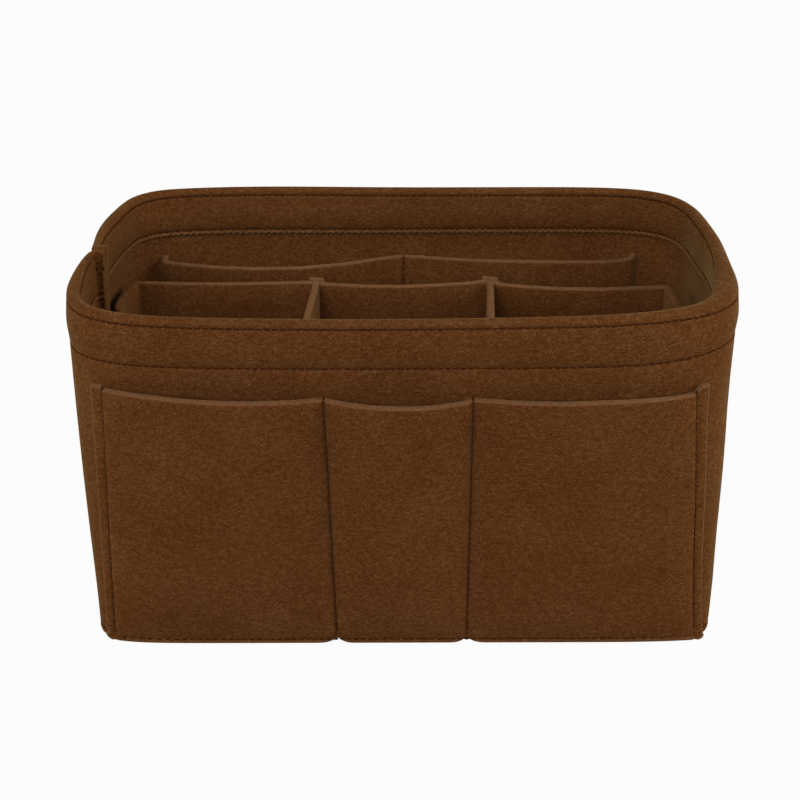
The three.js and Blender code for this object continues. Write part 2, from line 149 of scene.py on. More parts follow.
for lamp_name, lamp_place, lamp_size, lamp_power in lamp_plans:
    lamp_data = bpy.data.lights.new(lamp_name, "AREA")
    lamp_data.shape = "RECTANGLE"
    lamp_data.size, lamp_data.size_y = lamp_size
    lamp_data.energy = lamp_power
    lamp = bpy.data.objects.new(lamp_name, lamp_data)
    lamp.location = lamp_place
    lamp.rotation_euler = (lamp_aim - Vector(lamp_place)).to_track_quat("-Z", "Y").to_euler()
    bpy.context.scene.collection.objects.link(lamp)


# Felt. Needled polyester felt, pressed flat and matt, from brown fibres of several shades. Up close it is
# mottled by single fibres and by clumps of 1 to 4 mm. Cut edges are paler, partly from their cut fibres and
# partly as a painted highlight. The fuzz makes the felt glow olive where it is seen at a slant.
felt_dark = "#42220c"
felt_brown = "#4f2e15"
felt_light = "#69482b"
cut_edge_pale_and_highlight = "#6c4c33"
fuzz_glow = "#ffe79c"
fuzz_share = 0.13
fuzz_spread = 0.3
felt_roughness = 0.95
# Real fibres are about 0.03 mm thick. That is too fine to show, so the pattern is drawn this coarse.
fibre_size = 0.8
fibre_flatness = 1.7
fibre_swirl = 1.2
fibre_height = 0.14
clump_size = 2.6
clump_height_share = 2.0
drift_size = 26
mottle_start = -0.3
mottle_shares = (1.16, 0.3, 0.14)
tone_places = (0.3, 0.5, 0.72)
fray_fibres = (0.35, 0.65)
fray_shares = (0.35, 1.1)

felt_finish = bpy.data.materials.new("needled_felt")
felt_finish.use_nodes = True
tree = felt_finish.node_tree
tree.nodes.clear()
place = add_node(tree, "ShaderNodeTexCoord").outputs["Object"]
lying = add_node(tree, "ShaderNodeVectorMath", {"operation": "MULTIPLY"}, {0: place, 1: (1, 1, fibre_flatness)})
fibres = add_node(tree, "ShaderNodeTexNoise", None, {
    "Vector": lying.outputs[0], "Scale": 1000 / fibre_size, "Detail": 3, "Roughness": 0.6, "Distortion": fibre_swirl,
})
clumps = add_node(tree, "ShaderNodeTexNoise", None, {
    "Vector": lying.outputs[0], "Scale": 1000 / clump_size, "Detail": 2, "Roughness": 0.5,
})
drift = add_node(tree, "ShaderNodeTexNoise", None,
                 {"Vector": place, "Scale": 1000 / drift_size, "Detail": 2, "Roughness": 0.5})
mottle = mottle_start
for noise, share in zip((fibres, clumps, drift), mottle_shares):
    mottle = add_node(tree, "ShaderNodeMath", {"operation": "MULTIPLY_ADD"},
                      {0: noise.outputs["Fac"], 1: share, 2: mottle}).outputs[0]
tones = add_node(tree, "ShaderNodeValToRGB", None, {"Fac": mottle})
tones.color_ramp.elements[0].position = tone_places[0]
tones.color_ramp.elements[0].color = linear(felt_dark)
tones.color_ramp.elements[1].position = tone_places[2]
tones.color_ramp.elements[1].color = linear(felt_light)
tones.color_ramp.elements.new(tone_places[1]).color = linear(felt_brown)
cut = add_node(tree, "ShaderNodeAttribute", {"attribute_type": "GEOMETRY", "attribute_name": "cut_edge"})
frayed = add_node(tree, "ShaderNodeMapRange", None, {
    "Value": fibres.outputs["Fac"], "From Min": fray_fibres[0], "From Max": fray_fibres[1],
    "To Min": fray_shares[0], "To Max": fray_shares[1],
})
frayed = add_node(tree, "ShaderNodeMath", {"operation": "MULTIPLY"},
                  {0: frayed.outputs["Result"], 1: cut.outputs["Fac"]})
# Cut edges mix toward a paler tone: partly the cut fibres' own tone, partly a painted highlight.
pale = add_node(tree, "ShaderNodeMix", {"data_type": "RGBA"},
                {0: frayed.outputs[0], 6: tones.outputs["Color"], 7: linear(cut_edge_pale_and_highlight)})
relief = add_node(tree, "ShaderNodeMath", {"operation": "MULTIPLY_ADD"},
                  {0: clumps.outputs["Fac"], 1: clump_height_share, 2: fibres.outputs["Fac"]})
bump = add_node(tree, "ShaderNodeBump", None,
                {"Height": relief.outputs[0], "Strength": 1, "Distance": fibre_height / 1000})
surface = add_node(tree, "ShaderNodeBsdfPrincipled", None, {
    "Base Color": pale.outputs[2], "Roughness": felt_roughness, "Specular IOR Level": 0.0,
    "Sheen Weight": fuzz_share, "Sheen Roughness": fuzz_spread, "Sheen Tint": linear(fuzz_glow),
    "Normal": bump.outputs[0],
})
add_node(tree, "ShaderNodeOutputMaterial", None, {"Surface": surface.outputs[0]})


def finish_felt(piece, *nodes):
    piece.data.materials.append(felt_finish)
    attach(piece, "root")
    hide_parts(*nodes)


def mark_cut_edges(piece, shares):
    """Marks how near each point is to a cut edge, where the felt is paler: partly its cut fibres, partly painted
    highlight.
    """
    marks = piece.data.attributes.new("cut_edge", "FLOAT", "POINT")
    marks.data.foreach_set("value", np.clip(np.asarray(shares, np.float32).ravel(), 0, 1))


# Outer wall. One strip of 3.3 mm felt bent into a ring. Its top is folded to the inside as a hem and sewn
# round twice, and its ends turn inwards and are sewn face to face at the left end. The stitches squeeze the
# hem, which puffs out between its two rows.
felt = 3.3
felt_gap = 0.5
wall_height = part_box("outer_wall")[1].z * 1000
rim_size = (280, 160)
base_size = (279, 141)
rim_squareness = 4.6
base_squareness = 12
squareness_ease = 0.6
square_back_left = 0.5
square_back_right = 0.25
hem_depth = 22.4
hem_edge = wall_height - hem_depth
hem_row = hem_edge + 1.8
rim_row = wall_height - 3.2
base_row = 2.4
fold_radius = 3.0
hem_puff = 0.6
hem_shoulder = 4
hem_depths = (4.9, 4.8, 5.7, 6.2, 5.8, 2 * fold_radius)
hem_bulk = 0.8
crowd_turn = math.atan2(-0.61, 1)
crowd_width = 0.3
crowd_height = (2, 12)
hem_thin = 0.34
thin_turns = (2.7, 0.3)
# The hem's lower edge as height, depth and paleness. The paleness is partly its cut fibres and partly a painted
# highlight, although this edge faces down.
hem_edge_round = ((0.75, 5.0, 0.4), (0.3, 5.0, 0.55), (0, 4.6, 0.55), (0, 3.9, 0.4), (0.25, 3.35, 0.1))
hem_scallop = 0.6
hem_scallop_middle = 0.25
seam_bend = 4.6
seam_shoulder = 2.4
seam_reach = 7.8
seam_reach_low = 6.0
seam_reach_height = (125, 35)
seam_gap = 0.3
seam_end_pale = 0.15

# How the wall's corners, ends and hem sit unevenly, in mm. A pair is a start and the length that a move comes
# in over, or the middle of a move and its width. A bend is an amount, a place, a width and a share at the
# floor, and a wave an amount, a length, a height and a start.
free_top = (118, 42)
wall_ends = (100, 25)
left_bends = ((0.9, 14, 22, 0.4), (1.4, 3, 12, 0.4), (2.8, 54, 19, 0.4), (0.8, -60, 18, 0))
right_bends = ((-1.6, 8, 24, 0), (1.3, 64, 16, 0))
right_swell = 0.9
right_swell_height = 45
right_waist = (116, 26)
pull_right = 1.2
pull_x = (131, 8)
pull_height = 24
back_left_push = 1.2
back_left_corner = (-122, 71)
back_left_width = 15
back_sway = 1.4
sway_length = 45
sway_limit = 1.57
sway_y = (0, 70)
slow_waves = ((0.35, 31, 47, 1.1), (0.25, 23, -29, 2.0), (0.4, 37, 41, 0.3), (0.25, 19, -33, 4.0))
low_bulge = 1.6
low_bulge_x = (135, 4.5)
low_bulge_y = (0, 60)
low_bulge_height = 16
front_lift = 0.5
front_lift_y = (0, 60)
corner_lift = 0.5
corner_lift_x = (105, 46)
corner_lift_y = (-66, 34)
hem_lift = 2.8
hem_lift_height = 9
hem_lift_x = (95, 45)
hem_lift_y = (-30, 40)

# How the stitches pull the felt in: a groove along the row and a deeper dip at each needle hole.
wall_stitches = 256
groove_depth = 0.42
groove_width = 0.85
needle_depth = 0.75
needle_width = 0.55

# How finely the wall is made: columns of points between two needle holes, and rows of points up its faces.
stitch_columns = 4
bend_columns = 6
row_spread = 1.8
row_steps = (-1, -0.55, -0.25, 0, 0.25, 0.55, 1)
least_row = 0.35
wall_foot = 0.9
wall_rows_from = 8
wall_rows = 10
hem_rows = 7
fold_rows = 13
fold_room = 0.1
foot_shares = (0.9, 0.5, 0.1)
foot_pale = 0.5
probe_depth = 0.5
turn_limit = 0.999
turn_nudge = 1e-4
turn_rounds = 5
layer_reach = 131
fine_count = 20001


def lerp(low, high, share):
    return low + (high - low) * share


def near(value, centre, width):
    """1 at the centre and falling off like a bell over the width."""
    return np.exp(-((value - centre) / width) ** 2)


def ramp_up(value, start, over):
    """0 up to the start and 1 from the given length past it."""
    return np.clip((value - start) / over, 0, 1)


def ramp_down(value, over):
    """1 at zero, and 0 from the given length on."""
    return np.clip(1 - value / over, 0, 1)


def wall_outline(z):
    """Half the length and depth of the wall's outer face at a height, and how square it is."""
    share = z / wall_height
    return (
        lerp(base_size[0], rim_size[0], share) / 2,
        lerp(base_size[1], rim_size[1], share) / 2,
        lerp(base_squareness, rim_squareness, share ** squareness_ease),
    )


def bent_in(bends, y, loose):
    """How far an end of the wall is bent in at y, by bends given as amount, place, width and share at the floor."""
    return sum(amount * near(y, place, width) * lerp(low, 1, loose ** 2) for amount, place, width, low in bends)


def wave(shape, along, z):
    """A slow wave of the felt along the wall and up it."""
    amount, length, height, begin = shape
    return amount * np.sin(along / length + z / height + begin)


def drawn(points):
    """Moves points of the wall as its seam draws them in and its uneven corners and hem carry them."""
    x, y, z = (np.array(points[..., i], float) for i in range(3))
    top = ramp_up(z, *free_top) ** 2
    loose = ramp_up(z, 0, wall_height)
    at_left, at_right = (ramp_up(side * x, *wall_ends) for side in (-1, 1))
    back_left = near(x, back_left_corner[0], back_left_width) * near(y, back_left_corner[1], back_left_width) * top
    x_moved = x + at_left * bent_in(left_bends, y, loose) - at_right * bent_in(right_bends, y, loose)
    x_moved += at_right * right_swell * (ramp_down(z, right_swell_height) - near(z, *right_waist))
    x_moved -= pull_right * ramp_up(x, *pull_x) * ramp_down(z, pull_height) ** 1.5
    x_moved += loose * (wave(slow_waves[0], x, z) + wave(slow_waves[1], y, z))
    y_moved = y + back_left_push * back_left
    y_moved -= back_sway * top * np.sin(np.clip(x / sway_length, -sway_limit, sway_limit)) * ramp_up(y, *sway_y)
    low_y = low_bulge * np.sign(y) * near(np.abs(x), *low_bulge_x)
    y_moved += low_y * ramp_down(z, low_bulge_height) * ramp_up(np.abs(y), *low_bulge_y)
    y_moved += loose * (wave(slow_waves[2], x, z) + wave(slow_waves[3], x, z))
    corner_rise = corner_lift * near(x, *corner_lift_x) * near(y, *corner_lift_y)
    z_moved = z + top * (front_lift * ramp_up(-y, *front_lift_y) + corner_rise)
    hem_rise = hem_lift * near(z, hem_edge, hem_lift_height) * ramp_up(x, *hem_lift_x) ** 1.5
    z_moved += hem_rise * ramp_up(-y, *hem_lift_y)
    return np.stack([x_moved, y_moved, z_moved], axis=-1)


def wall_flat(turn, z, depth):
    """A point so far inside the wall's outer face. The turn is 0 at the right end and grows to the back."""
    half_length, half_depth, squareness = wall_outline(z)
    across, along = np.cos(turn), np.sin(turn)
    back = (1 + along) / 2
    squareness = squareness * (1 + back * lerp(square_back_left, square_back_right, (1 + across) / 2))
    reach = (np.abs(across) ** squareness + np.abs(along) ** squareness) ** (-1 / squareness)
    steep_x = np.sign(across) * np.abs(across * reach) ** (squareness - 1) / half_length
    steep_y = np.sign(along) * np.abs(along * reach) ** (squareness - 1) / half_depth
    steep = np.hypot(steep_x, steep_y)
    x = half_length * reach * across - depth * steep_x / steep
    y = half_depth * reach * along - depth * steep_y / steep
    return np.stack(np.broadcast_arrays(x, y, z), axis=-1).astype(float)


def wall_point(turn, z, depth):
    return drawn(wall_flat(turn, z, depth))


def turn_at(x, z, side):
    """The turn at which the front (side -1) or back (side 1) of the wall stands at x."""
    half_length, _, squareness = wall_outline(z)
    share = np.clip(np.asarray(x) / half_length, -turn_limit, turn_limit)
    turn = side * np.arctan2((1 - np.abs(share) ** squareness) ** (1 / squareness), share)
    for _ in range(turn_rounds):
        here, there = (wall_flat(turn + step, z, 0)[..., 0] for step in (0, turn_nudge))
        turn = turn - turn_nudge * (here - x) / (there - here)
    return turn


def inside_y(x, z, side, depth):
    """Where a layer so far inside the wall's outer face stands at x, at one height."""
    layer = wall_point(turn_at(np.linspace(-layer_reach, layer_reach, 2 * layer_reach + 1), z, side), z, depth)
    return np.interp(x, layer[:, 0], layer[:, 1])


def needle_hole(phase):
    """1 at a needle hole, at each whole phase, and 0 between holes."""
    return np.clip(np.cos(2 * np.pi * phase), 0, 1) ** 2


def stitch_dip(distance, phase):
    """How far a row of stitches pulls the felt in, at a distance from the row."""
    hole = needle_depth * near(distance, 0, needle_width) * needle_hole(phase)
    return groove_depth * near(distance, 0, groove_width) + hole


def rows_about(row):
    """Heights close together round a row of stitches."""
    return [row + row_spread * step for step in row_steps]


def spread_out(values, least):
    """Sorted values, without those that are nearer than the least distance to the one before."""
    kept = []
    for value in sorted(values):
        if not kept or value - kept[-1] >= least:
            kept.append(value)
    return np.array(kept)


def loop_faces(columns, ring):
    """Quads of a skin made of loops of points, and the two flat ends that close it."""
    column, step = np.meshgrid(np.arange(columns - 1), np.arange(ring), indexing="ij")
    following = (step + 1) % ring
    quads = np.stack([
        column * ring + step,
        (column + 1) * ring + step,
        (column + 1) * ring + following,
        column * ring + following,
    ], axis=-1).reshape(-1, 4).tolist()
    first = list(range(ring))
    last = [(columns - 1) * ring + i for i in reversed(range(ring))]
    return quads + [first, last]


wall_columns = wall_stitches * stitch_columns + 1
seam_turn = math.atan2(seam_gap / 2 + seam_bend + seam_shoulder, rim_size[1] / 2)
fine_turns = np.linspace(-math.pi + seam_turn, math.pi - seam_turn, fine_count)
fine_steps = np.linalg.norm(np.diff(wall_flat(fine_turns, rim_row, 0)[:, :2], axis=0), axis=1)
fine_lengths = np.concatenate([[0], np.cumsum(fine_steps)])
wall_turns = np.interp(np.linspace(0, fine_lengths[-1], wall_columns), fine_lengths, fine_turns)
wall_pitch = fine_lengths[-1] / wall_stitches
bend_angles = np.linspace(math.pi / 2, 0, bend_columns + 1)[:-1]
tip_rounds = np.array([0.25, 0.7, 0.9, 1, 1])
tip_steps = np.array([0, 0.12, 0.4, 0.9, 1.7])
tip_least = 0.1 - 0.05 * tip_steps
bend_least = 0.4
end_columns = len(tip_rounds) + bend_columns
wall_phase = (np.arange(wall_columns + 2 * end_columns) - end_columns) / stitch_columns


def bulky(turn, z, depth):
    """The hem is thicker at the front right corner, where the felt crowds as it turns, and thin at the left."""
    crowd = near(turn, crowd_turn, crowd_width) * ramp_up(z - hem_edge, *crowd_height)
    flat = ramp_up(np.abs(turn), *thin_turns) * ramp_up(depth, 0, 2 * fold_radius) ** 2
    return depth * (1 + hem_bulk * crowd * (depth > felt)) * (1 - hem_thin * flat)


def seam_tip(z):
    """How far the wall's ends reach into the bag at the seam."""
    return lerp(seam_reach_low, seam_reach, ramp_up(z, *seam_reach_height))


def wall_run(z, depth, ply):
    """Points of the whole strip at one height and depth, from its front end in the seam to its back end.
    The ply is the depth that its rounded ends close on."""
    half_length = wall_outline(z)[0]
    end_depth, end_ply = (bulky(math.pi, z, value) for value in (depth, ply))
    ends = []
    for side in (-1, 1):
        centre = max(seam_bend, end_depth + bend_least)
        radius = centre - end_depth
        tip_depth = end_ply + (end_depth - end_ply) * tip_rounds
        tip_x = np.maximum(seam_tip(z) - tip_steps, centre + tip_least)
        tip = np.stack([-half_length + tip_x, side * (seam_gap / 2 + tip_depth)], axis=-1)
        bend = np.stack([
            -half_length + centre - radius * np.cos(bend_angles),
            side * (seam_gap / 2 + centre) - side * radius * np.sin(bend_angles),
        ], axis=-1)
        ends.append(np.concatenate([tip, bend]))
    main = wall_flat(wall_turns, z, bulky(wall_turns, z, depth))[:, :2]
    run = np.concatenate([ends[0], main, ends[1][::-1]])
    return drawn(np.column_stack([run, np.full(len(run), z)]))


def hem_back(z):
    """Depth of the hem's inner face, squeezed by both rows of stitches."""
    middle = (hem_row + rim_row) / 2
    heights = [hem_edge, hem_row, hem_row + hem_shoulder, middle, rim_row - hem_shoulder, rim_row]
    return np.interp(z, heights, hem_depths)


def hem_front(z):
    """How far the hem puffs out between its rows."""
    share = np.clip((z - hem_row) / (rim_row - hem_row), 0, 1)
    return hem_puff * np.sin(math.pi * share) ** 2


# Each rung is a height and depth of the strip's skin, its face's direction upward and inward, the depth that
# its ends close on, and how pale it is, partly its cut fibres and partly painted highlight. The rungs go up
# the outside, over the fold and down the inside.
fold_centre = wall_height - fold_radius
between_rows = np.linspace(hem_row + row_spread, rim_row - row_spread, hem_rows)
outer_heights = spread_out(
    [wall_foot, *np.linspace(wall_rows_from, hem_edge - row_spread, wall_rows), *rows_about(base_row),
     *rows_about(hem_row), *between_rows, *rows_about(rim_row)],
    least_row,
)
inner_heights = spread_out([*rows_about(hem_row), *between_rows, *rows_about(rim_row)], least_row)
rungs = []
for z in outer_heights[outer_heights < fold_centre - fold_room]:
    rungs.append((z, -hem_front(z), 0, -1, felt / 2 if z < hem_edge else fold_radius / 2, 0))
for angle in np.linspace(0, math.pi, fold_rows):
    rungs.append((fold_centre + fold_radius * math.sin(angle), fold_radius - fold_radius * math.cos(angle),
                  math.sin(angle), -math.cos(angle), fold_radius - fold_radius / 2 * math.cos(angle), 0))
for z in inner_heights[(inner_heights < fold_centre - fold_room) & (inner_heights > hem_edge + 1)][::-1]:
    rungs.append((z, hem_back(z), 0, 1, 1.5 * fold_radius, 0))
for z, depth, mark in hem_edge_round:
    rungs.append((hem_edge + z, depth, -1, 0, 1.5 * fold_radius, mark))
for z in np.linspace(hem_edge - 1, 1, wall_rows):
    rungs.append((z, felt, 0, 1, felt / 2, 0))
for share in foot_shares:
    rungs.append((0, felt * share, -1, 0, felt / 2, foot_pale))

wall_loops, wall_marks = [], []
for z, depth, normal_z, normal_depth, ply, mark in rungs:
    dip = stitch_dip(z - rim_row, wall_phase) + stitch_dip(z - hem_row, wall_phase)
    if normal_depth == -1:
        dip = dip + stitch_dip(z - base_row, wall_phase)
    run = wall_run(z, depth, ply)
    inward = wall_run(z, depth + probe_depth, ply) - run
    inward[:, 2] = 0
    inward /= np.maximum(np.linalg.norm(inward, axis=1, keepdims=True), 1e-6)
    if normal_z == -1 and depth > felt:
        dip = hem_scallop * needle_hole(wall_phase) - hem_scallop_middle
        run = run - inward * dip[:, None]
    run = run - inward * (normal_depth * dip)[:, None]
    run[:, 2] -= normal_z * dip * (depth > felt or normal_z > 0)
    wall_loops.append(run)
    wall_marks.append(np.full(len(wall_phase), mark))
wall_skin = np.stack(wall_loops, axis=1)
outer_wall = mesh_object("felt_wall", wall_skin.reshape(-1, 3), loop_faces(len(wall_phase), len(rungs)))
edge_marks = np.stack(wall_marks, axis=1)
edge_marks[:2] = edge_marks[-2:] = seam_end_pale
mark_cut_edges(outer_wall, edge_marks)
finish_felt(outer_wall, "outer_wall")


# Rows of stitches. Dark brown polyester thread, pulled tight so that each stitch lies in a groove of the
# felt and dips into a needle hole at both ends. One tree lays a stitch at each point along its run.
thread_radius = 0.47
thread_proud = 0.1
stitch_share = 0.8
stitch_sink = 0.5
stitch_segments = (8, 6)
stitch_least = (0.9, 0.9, 0.93)
stitch_most = (1.1, 1.1, 1.05)
stitch_seed = 5
thread_dark = "#2b1506"
thread_brown = "#40230d"
thread_tone_places = (0.35, 0.7)
thread_roughness = 0.8
# The real twist is too fine to show, so it is drawn this coarse.
thread_twist = 0.35
twist_height = 0.1

thread_finish = bpy.data.materials.new("twisted_polyester_thread")
thread_finish.use_nodes = True
tree = thread_finish.node_tree
tree.nodes.clear()
place = add_node(tree, "ShaderNodeTexCoord").outputs["Object"]
twist = add_node(tree, "ShaderNodeTexNoise", None,
                 {"Vector": place, "Scale": 1000 / thread_twist, "Detail": 2, "Distortion": 0.5})
tones = add_node(tree, "ShaderNodeValToRGB", None, {"Fac": twist.outputs["Fac"]})
tones.color_ramp.elements[0].position = thread_tone_places[0]
tones.color_ramp.elements[0].color = linear(thread_dark)
tones.color_ramp.elements[1].position = thread_tone_places[1]
tones.color_ramp.elements[1].color = linear(thread_brown)
bump = add_node(tree, "ShaderNodeBump", None,
                {"Height": twist.outputs["Fac"], "Strength": 1, "Distance": twist_height / 1000})
surface = add_node(tree, "ShaderNodeBsdfPrincipled", None, {
    "Base Color": tones.outputs["Color"], "Roughness": thread_roughness, "Specular IOR Level": 0.0,
    "Normal": bump.outputs[0],
})
add_node(tree, "ShaderNodeOutputMaterial", None, {"Surface": surface.outputs[0]})

sewing = bpy.data.node_groups.new("sewn_stitches", "GeometryNodeTree")
sewing.interface.new_socket("Stitches", in_out="OUTPUT", socket_type="NodeSocketGeometry")
sewing.interface.new_socket("Points", in_out="INPUT", socket_type="NodeSocketGeometry")
socket_length = sewing.interface.new_socket("Stitch Length", in_out="INPUT", socket_type="NodeSocketFloat")
socket_radius = sewing.interface.new_socket("Thread Radius", in_out="INPUT", socket_type="NodeSocketFloat")
socket_thread = sewing.interface.new_socket("Thread", in_out="INPUT", socket_type="NodeSocketMaterial")
given = add_node(sewing, "NodeGroupInput")
grain = add_node(sewing, "GeometryNodeMeshUVSphere", None,
                 {"Segments": stitch_segments[0], "Rings": stitch_segments[1], "Radius": 1})
half = add_node(sewing, "ShaderNodeMath", {"operation": "MULTIPLY"}, {0: given.outputs["Stitch Length"], 1: 0.5})
stretch = add_node(sewing, "ShaderNodeCombineXYZ", None, {
    "X": given.outputs["Thread Radius"], "Y": given.outputs["Thread Radius"], "Z": half.outputs[0],
})
grain = add_node(sewing, "GeometryNodeTransform", None,
                 {"Geometry": grain.outputs["Mesh"], "Scale": stretch.outputs[0]})
run_way = add_node(sewing, "GeometryNodeInputNamedAttribute", {"data_type": "FLOAT_VECTOR"}, {"Name": "run"})
turned = add_node(sewing, "FunctionNodeAlignRotationToVector", {"axis": "Z"},
                  {"Vector": run_way.outputs["Attribute"]})
uneven = add_node(sewing, "FunctionNodeRandomValue", {"data_type": "FLOAT_VECTOR"},
                  {"Min": stitch_least, "Max": stitch_most, "Seed": stitch_seed})
laid = add_node(sewing, "GeometryNodeInstanceOnPoints", None, {
    "Points": given.outputs["Points"], "Instance": grain.outputs["Geometry"],
    "Rotation": turned.outputs["Rotation"], "Scale": uneven.outputs["Value"],
})
laid = add_node(sewing, "GeometryNodeRealizeInstances", None, {"Geometry": laid.outputs["Instances"]})
laid = add_node(sewing, "GeometryNodeSetShadeSmooth", None, {"Geometry": laid.outputs[0]})
laid = add_node(sewing, "GeometryNodeSetMaterial", None,
                {"Geometry": laid.outputs[0], "Material": given.outputs["Thread"]})
add_node(sewing, "NodeGroupOutput", None, {"Stitches": laid.outputs[0]})


def sew(name, points, pitch, *nodes, runs=None):
    """A row of stitches as one piece: a stitch at each point, laid along the row or a given run."""
    piece = mesh_object(name, points, [])
    runs = np.gradient(np.asarray(points, float), axis=0) if runs is None else runs
    way = piece.data.attributes.new("run", "FLOAT_VECTOR", "POINT")
    way.data.foreach_set("vector", np.asarray(runs, np.float32).ravel())
    modifier = piece.modifiers.new("sewing", "NODES")
    modifier.node_group = sewing
    modifier[socket_length.identifier] = stitch_share * pitch / 1000
    modifier[socket_radius.identifier] = thread_radius / 1000
    modifier[socket_thread.identifier] = thread_finish
    bpy.context.view_layer.update()
    sewn = piece.evaluated_get(bpy.context.evaluated_depsgraph_get())
    mesh = bpy.data.meshes.new_from_object(sewn)
    mesh.name = name
    piece.modifiers.clear()
    piece.data = mesh
    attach(piece, "root")
    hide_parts(*nodes)


stitch_turns = wall_turns[stitch_columns // 2::stitch_columns]
for name, row, depth in (
    ("rim_stitches_outer", rim_row, stitch_sink),
    ("rim_stitches_inner", rim_row, bulky(stitch_turns, rim_row, hem_back(rim_row)) - stitch_sink),
    ("hem_stitches_outer", hem_row, stitch_sink),
    ("hem_stitches_inner", hem_row, bulky(stitch_turns, hem_row, hem_back(hem_row)) - stitch_sink),
):
    sew(name, wall_point(stitch_turns, row, depth), wall_pitch, name.replace("stitches", "thread"))


# Outer pocket panels, front and back. Felt sewn down near its ends, along two upright seams and along the
# bottom, so that it bows out into three open pockets. The cut edges are left raw, and the bottom lip puffs
# out below its stitches.
pocket_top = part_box("front_pocket_panel")[1].z * 1000
pocket_low = 0.45
# The marks are places along the panel: a cut end, four rows of stitches, a cut end. The rows stand at the
# low x at the floor and at the high x at the mouth, and the borders are the felt beyond the end rows.
pocket_marks = (-126, -122, -30.5, 28.8, 122, 126)
pocket_rows_low = (-128.4, -29.4, 28.0, 127.8)
pocket_rows_high = (-119.4, -31.0, 29.0, 117.8)
border_low = 3.4
borders_high = (5.2, 5.4)
border_curve = 1.7
pocket_rows_s = pocket_marks[1:5]
# How far the mouth stands above or below its level, by place along the panel.
pocket_rims = np.array([
    (-126, 1.2), (-123, 1.4), (-121.6, 0.5), (-112, 1.1), (-99, 1.3), (-75, 0.4), (-30.5, -1.2), (0, -1.5),
    (12, -1.9), (25, -2.1), (28.8, -1.7), (37, -1.5), (50, -1.6), (58, -1.4), (66, -1.35), (74, -1.1), (83, -1.0),
    (91, -1.2), (105, -1.75), (110, -2.1), (118, -2.7), (122, -2.8), (123.4, -0.4), (126, -0.3),
])
rim_curve = 8
pocket_gapes = (6.4, 7.6, 4.6)
gape_curve = 0.8
gape_rise_curve = 0.6
pocket_pitch = 3.1
lip_puff = 0.5
lip_place = (0.6, 1.2)
lip_notch = 1.9
lip_notch_height = 4
seam_tuck = 0.4
seam_tuck_height = 6
seam_hold = 3.5
seam_groove = 0.7
seam_groove_width = 1.3
seam_steps = (-1.5, -0.8, -0.4, 0, 0.4, 0.8, 1.5)
corner_rounds = (3.5, 2.5)
corner_height = 20
corner_push = 1.1
corner_push_width = 9
corner_push_height = 8
pocket_columns = 236
pocket_rows_from = 6
edge_room = 1.2
edge_steps = (0, 0.15, 0.45, 0.9)
edge_shares = (0.56, 0.78, 0.94, 1)
edge_crown = 0.12
edge_pale = 0.8
edge_pale_most = 1.1


def felt_rows(low, high, between, least=0.3):
    """Places across a felt piece: close together at both cut edges, and spread out between them."""
    inner = spread_out([value for value in between if low + edge_room < value < high - edge_room], least)
    return np.concatenate([low + np.array(edge_steps), inner, (high - np.array(edge_steps))[::-1]])


def border_of(across, up):
    """Distance of each point of a grid to the nearest cut edge."""
    from_ends = np.minimum(across - across[0], across[-1] - across)
    from_rims = np.minimum(up - up[0], up[-1] - up)
    return np.minimum(from_ends[:, None], from_rims[None, :])


def felt_piece(name, middle, border, dip, *nodes, pale=1):
    """A felt piece round its middle surface, with slightly rounded cut edges. Its front is dipped."""
    normal = np.cross(np.gradient(middle, axis=0), np.gradient(middle, axis=1))
    normal /= np.linalg.norm(normal, axis=-1, keepdims=True)
    half = felt / 2 * np.interp(border, edge_steps, edge_shares)
    front = middle + normal * (half - dip)[..., None]
    back = middle - normal * half[..., None]
    crowns = []
    for last, before in ((-1, -2), (0, 1)):
        rise = middle[:, last] - middle[:, before]
        crowns.append((middle[:, last] + edge_crown * rise / np.linalg.norm(rise, axis=-1, keepdims=True))[:, None])
    skin = np.concatenate([front, crowns[0], back[:, ::-1], crowns[1]], axis=1)
    piece = mesh_object(name, skin.reshape(-1, 3), loop_faces(*skin.shape[:2]))
    # Paleness near the cut edges: partly the fibres' own tone and partly a painted highlight.
    pale_share = np.clip(edge_pale_most - border / edge_pale, 0, 1) * pale
    marks = [pale_share, pale_share[:, -1:], pale_share[:, ::-1], pale_share[:, :1]]
    mark_cut_edges(piece, np.concatenate(marks, axis=1))
    finish_felt(piece, *nodes)


def pocket_place(s, z):
    """The x that a place s along the panel has at a height."""
    share = np.clip(z / pocket_top, 0, 1)
    rows = [lerp(low, high, share) for low, high in zip(pocket_rows_low, pocket_rows_high)]
    borders = [lerp(border_low, high, share ** border_curve) for high in borders_high]
    marks = [rows[0] - borders[0], *rows, rows[3] + borders[1]]
    x = marks[0] + 0 * s
    for i in range(5):
        along = (s - pocket_marks[i]) / (pocket_marks[i + 1] - pocket_marks[i])
        x = np.where(along >= 0, lerp(marks[i], marks[i + 1], along), x)
    return x


def pocket_bow(s, z):
    """How far the panel stands off the wall."""
    bow = 0
    rise = ramp_up(z, 2 * base_row, pocket_top - 2 * base_row) ** gape_rise_curve
    for start, stop, gape in zip(pocket_rows_s[:3], pocket_rows_s[1:], pocket_gapes):
        share = np.clip((s - start) / (stop - start), 0, 1)
        bow = bow + gape * np.abs(np.sin(np.pi * share)) ** gape_curve * rise
    return bow


